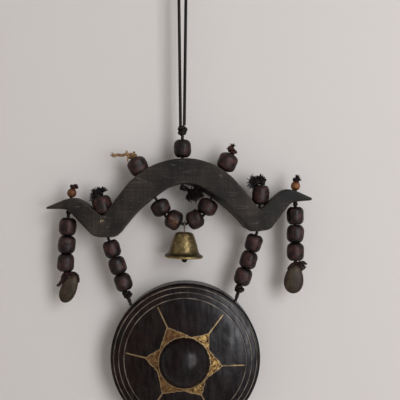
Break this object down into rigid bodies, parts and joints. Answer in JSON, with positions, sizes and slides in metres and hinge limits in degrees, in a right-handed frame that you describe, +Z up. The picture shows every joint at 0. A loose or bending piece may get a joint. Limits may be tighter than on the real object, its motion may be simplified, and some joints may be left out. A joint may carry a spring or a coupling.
{
  "type": "hanging gong",
  "caption": "Small bossed brass gong on a carved wooden wing yoke, hung by a cord loop, strung with barrel beads, a brass bell in the arch and beaded drop pendants.",
  "frame": {"origin": "where the nail or hook bears inside the top of the hanging loop, on the plane of the cords", "axes": "+Z up, the gong's face and boss point along -Y, +X to the right as seen from the front"},
  "size_m": [0.2635, 0.053, 0.451],
  "materials": {
    "yoke_wood": "carved wood under dark grey-brown stain, matt, fine grain and scratches",
    "bead_wood": "turned wood, dark purple-brown stain, worn satin",
    "tip_bead_wood": "turned wood, clear satin",
    "drop_wood": "flat carved wood, olive-brown, smooth",
    "black_cord": "waxed cotton cord, black",
    "tan_cord": "cotton cord, tan, frayed",
    "black_brass": "blackened, semi-gloss, a star round the boss scraped to bare brass",
    "bell_brass": "cast, aged, satin",
    "wire": "bent wire, rusted brown"
  },
  "bodies": {
    "hanger": {"hanger_cord": "black_cord"},
    "hanger_knot": {"hanger_knot": "black_cord"},
    "neck": {"crown_cord": "black_cord"},
    "crown_bead": {"crown_bead": "bead_wood"},
    "yoke": {"yoke": "yoke_wood", "crown_tail": "black_cord", "notch_cord_left": "black_cord", "notch_cord_right": "black_cord", "shoulder_cord_left": "tan_cord", "shoulder_cord_right": "black_cord", "tip_cord_left": "black_cord", "tip_cord_right": "black_cord"},
    "gong_strings": {"gong_cord_left": "black_cord", "gong_cord_right": "black_cord"},
    "gong": {"gong": "black_brass", "rim_knot_left": "black_cord", "rim_knot_right": "black_cord"},
    "bell_string": {"bell_cord": "black_cord"},
    "bell_eye": {"bell_eye": "wire"},
    "bell": {"bell": "bell_brass"},
    "clapper": {"clapper": "bell_brass"},
    "pendant_swivel_left": {"pendant_swivel_left": "black_cord"},
    "pendant_left": {"pendant_cord_left": "black_cord"},
    "drop_left": {"drop_left": "drop_wood"},
    "pendant_swivel_right": {"pendant_swivel_right": "black_cord"},
    "pendant_right": {"pendant_cord_right": "black_cord"},
    "drop_right": {"drop_right": "drop_wood"},
    "notch_bead_left": {"notch_bead_left": "bead_wood"},
    "shoulder_bead_left": {"shoulder_bead_left": "bead_wood"},
    "tip_bead_left": {"tip_bead_left": "tip_bead_wood"},
    "notch_bead_right": {"notch_bead_right": "bead_wood"},
    "shoulder_bead_right": {"shoulder_bead_right": "bead_wood"},
    "tip_bead_right": {"tip_bead_right": "tip_bead_wood"},
    "gong_bead_left_1": {"gong_bead_left_1": "bead_wood"},
    "gong_bead_left_2": {"gong_bead_left_2": "bead_wood"},
    "gong_bead_left_3": {"gong_bead_left_3": "bead_wood"},
    "gong_bead_right_1": {"gong_bead_right_1": "bead_wood"},
    "gong_bead_right_2": {"gong_bead_right_2": "bead_wood"},
    "gong_bead_right_3": {"gong_bead_right_3": "bead_wood"},
    "bell_bead_left_1": {"bell_bead_left_1": "bead_wood"},
    "bell_bead_left_2": {"bell_bead_left_2": "bead_wood"},
    "bell_bead_right_1": {"bell_bead_right_1": "bead_wood"},
    "bell_bead_right_2": {"bell_bead_right_2": "bead_wood"},
    "pendant_bead_left_1": {"pendant_bead_left_1": "bead_wood"},
    "pendant_bead_left_2": {"pendant_bead_left_2": "bead_wood"},
    "pendant_bead_left_3": {"pendant_bead_left_3": "bead_wood"},
    "pendant_bead_right_1": {"pendant_bead_right_1": "bead_wood"},
    "pendant_bead_right_2": {"pendant_bead_right_2": "bead_wood"},
    "pendant_bead_right_3": {"pendant_bead_right_3": "bead_wood"}
  },
  "joints": [
    {"name": "hanger_turn", "type": "hinge", "parent": "hanger", "child": "hanger_knot", "pos_m": [0, 0, -0.14168], "axis": [0, 0, 1], "range_deg": [-60, 60]},
    {"name": "yoke_swing", "type": "hinge", "parent": "hanger_knot", "child": "neck", "pos_m": [0, 0, -0.1547], "axis": [1, 0, 0], "range_deg": [-30, 30]},
    {"name": "yoke_rock", "type": "hinge", "parent": "neck", "child": "yoke", "pos_m": [0, 0, -0.1739], "axis": [0, 1, 0], "range_deg": [-6, 6]},
    {"name": "gong_strings_swing", "type": "hinge", "parent": "yoke", "child": "gong_strings", "pos_m": [-0.07418, 0, -0.25404], "axis": [0.9992, 0, 0.0401], "range_deg": [-22, 22]},
    {"name": "gong_tilt", "type": "hinge", "parent": "gong_strings", "child": "gong", "pos_m": [-0.05192, 0, -0.3199], "axis": [0.9992, 0, 0.0401], "range_deg": [-20, 20]},
    {"name": "bell_string_swing", "type": "hinge", "parent": "yoke", "child": "bell_string", "pos_m": [-0.0268, 0, -0.21424], "axis": [0.9998, 0, 0.0204], "range_deg": [-22, 22]},
    {"name": "bell_swing", "type": "hinge", "parent": "bell_string", "child": "bell_eye", "pos_m": [0.00202, 0, -0.24023], "axis": [1, 0, 0], "range_deg": [-22, 22]},
    {"name": "bell_rock", "type": "hinge", "parent": "bell_eye", "child": "bell", "pos_m": [0.00202, 0, -0.24865], "axis": [0, 1, 0], "range_deg": [-6, 6]},
    {"name": "clapper_swing", "type": "hinge", "parent": "bell_eye", "child": "clapper", "pos_m": [0.00202, 0, -0.2544], "axis": [0, 1, 0], "range_deg": [-16, 16]},
    {"name": "pendant_left_swing", "type": "hinge", "parent": "yoke", "child": "pendant_swivel_left", "pos_m": [-0.11392, 0, -0.22853], "axis": [1, 0, 0], "range_deg": [-20, 20]},
    {"name": "pendant_left_sway", "type": "hinge", "parent": "pendant_swivel_left", "child": "pendant_left", "pos_m": [-0.11392, 0, -0.22853], "axis": [0, 1, 0], "range_deg": [-2, 22]},
    {"name": "drop_left_swing", "type": "hinge", "parent": "pendant_left", "child": "drop_left", "pos_m": [-0.10952, 0, -0.29595], "axis": [0.9135, 0, -0.4067], "range_deg": [-35, 35]},
    {"name": "pendant_right_swing", "type": "hinge", "parent": "yoke", "child": "pendant_swivel_right", "pos_m": [0.11283, 0, -0.21989], "axis": [1, 0, 0], "range_deg": [-20, 20]},
    {"name": "pendant_right_sway", "type": "hinge", "parent": "pendant_swivel_right", "child": "pendant_right", "pos_m": [0.11283, 0, -0.21989], "axis": [0, 1, 0], "range_deg": [-22, 2]},
    {"name": "drop_right_swing", "type": "hinge", "parent": "pendant_right", "child": "drop_right", "pos_m": [0.11241, 0, -0.28631], "axis": [0.9945, 0, -0.1045], "range_deg": [-35, 35]},
    {"name": "crown_bead_spin", "type": "hinge", "parent": "neck", "child": "crown_bead", "pos_m": [0, 0, -0.1646], "axis": [0, 0, 1], "continuous": true},
    {"name": "notch_bead_left_spin", "type": "hinge", "parent": "yoke", "child": "notch_bead_left", "pos_m": [-0.08016, 0, -0.22115], "axis": [-0.1788, 0, 0.9839], "continuous": true},
    {"name": "shoulder_bead_left_spin", "type": "hinge", "parent": "yoke", "child": "shoulder_bead_left", "pos_m": [-0.04438, 0, -0.18225], "axis": [-0.4818, 0, 0.8763], "continuous": true},
    {"name": "tip_bead_left_spin", "type": "hinge", "parent": "yoke", "child": "tip_bead_left", "pos_m": [-0.11057, 0, -0.20894], "axis": [0.1685, 0, 0.9857], "continuous": true},
    {"name": "notch_bead_right_spin", "type": "hinge", "parent": "yoke", "child": "notch_bead_right", "pos_m": [0.07827, 0, -0.21093], "axis": [0.0993, 0, 0.9951], "continuous": true},
    {"name": "shoulder_bead_right_spin", "type": "hinge", "parent": "yoke", "child": "shoulder_bead_right", "pos_m": [0.04507, 0, -0.17823], "axis": [0.4099, 0, 0.9121], "continuous": true},
    {"name": "tip_bead_right_spin", "type": "hinge", "parent": "yoke", "child": "tip_bead_right", "pos_m": [0.11305, 0, -0.20191], "axis": [0.0122, 0, 0.9999], "continuous": true},
    {"name": "gong_bead_left_1_spin", "type": "hinge", "parent": "gong_strings", "child": "gong_bead_left_1", "pos_m": [-0.07053, 0, -0.26484], "axis": [-0.3203, 0, 0.9473], "continuous": true},
    {"name": "gong_bead_left_2_spin", "type": "hinge", "parent": "gong_strings", "child": "gong_bead_left_2", "pos_m": [-0.06489, 0, -0.28151], "axis": [-0.3203, 0, 0.9473], "continuous": true},
    {"name": "gong_bead_left_3_spin", "type": "hinge", "parent": "gong_strings", "child": "gong_bead_left_3", "pos_m": [-0.05926, 0, -0.29818], "axis": [-0.3203, 0, 0.9473], "continuous": true},
    {"name": "gong_bead_right_1_spin", "type": "hinge", "parent": "gong_strings", "child": "gong_bead_right_1", "pos_m": [0.07117, 0, -0.25895], "axis": [0.2981, 0, 0.9545], "continuous": true},
    {"name": "gong_bead_right_2_spin", "type": "hinge", "parent": "gong_strings", "child": "gong_bead_right_2", "pos_m": [0.06592, 0, -0.27575], "axis": [0.2981, 0, 0.9545], "continuous": true},
    {"name": "gong_bead_right_3_spin", "type": "hinge", "parent": "gong_strings", "child": "gong_bead_right_3", "pos_m": [0.06067, 0, -0.29255], "axis": [0.2981, 0, 0.9545], "continuous": true},
    {"name": "bell_bead_left_1_spin", "type": "hinge", "parent": "bell_string", "child": "bell_bead_left_1", "pos_m": [-0.02164, 0, -0.22361], "axis": [-0.4818, 0, 0.8763], "continuous": true},
    {"name": "bell_bead_left_2_spin", "type": "hinge", "parent": "bell_string", "child": "bell_bead_left_2", "pos_m": [-0.00867, 0, -0.23597], "axis": [-0.8988, 0, 0.4384], "continuous": true},
    {"name": "bell_bead_right_1_spin", "type": "hinge", "parent": "bell_string", "child": "bell_bead_right_1", "pos_m": [0.02501, 0, -0.22285], "axis": [0.4099, 0, 0.9121], "continuous": true},
    {"name": "bell_bead_right_2_spin", "type": "hinge", "parent": "bell_string", "child": "bell_bead_right_2", "pos_m": [0.01271, 0, -0.23554], "axis": [0.8988, 0, 0.4384], "continuous": true},
    {"name": "pendant_bead_left_1_spin", "type": "hinge", "parent": "pendant_left", "child": "pendant_bead_left_1", "pos_m": [-0.11467, 0, -0.24271], "axis": [0.0523, 0, 0.9986], "continuous": true},
    {"name": "pendant_bead_left_2_spin", "type": "hinge", "parent": "pendant_left", "child": "pendant_bead_left_2", "pos_m": [-0.11561, 0, -0.26069], "axis": [0.0523, 0, 0.9986], "continuous": true},
    {"name": "pendant_bead_left_3_spin", "type": "hinge", "parent": "pendant_left", "child": "pendant_bead_left_3", "pos_m": [-0.11655, 0, -0.27866], "axis": [0.0523, 0, 0.9986], "continuous": true},
    {"name": "pendant_bead_right_1_spin", "type": "hinge", "parent": "pendant_right", "child": "pendant_bead_right_1", "pos_m": [0.11287, 0, -0.23169], "axis": [-0.0035, 0, 1], "continuous": true},
    {"name": "pendant_bead_right_2_spin", "type": "hinge", "parent": "pendant_right", "child": "pendant_bead_right_2", "pos_m": [0.11293, 0, -0.24969], "axis": [-0.0035, 0, 1], "continuous": true},
    {"name": "pendant_bead_right_3_spin", "type": "hinge", "parent": "pendant_right", "child": "pendant_bead_right_3", "pos_m": [0.113, 0, -0.26769], "axis": [-0.0035, 0, 1], "continuous": true}
  ]
}
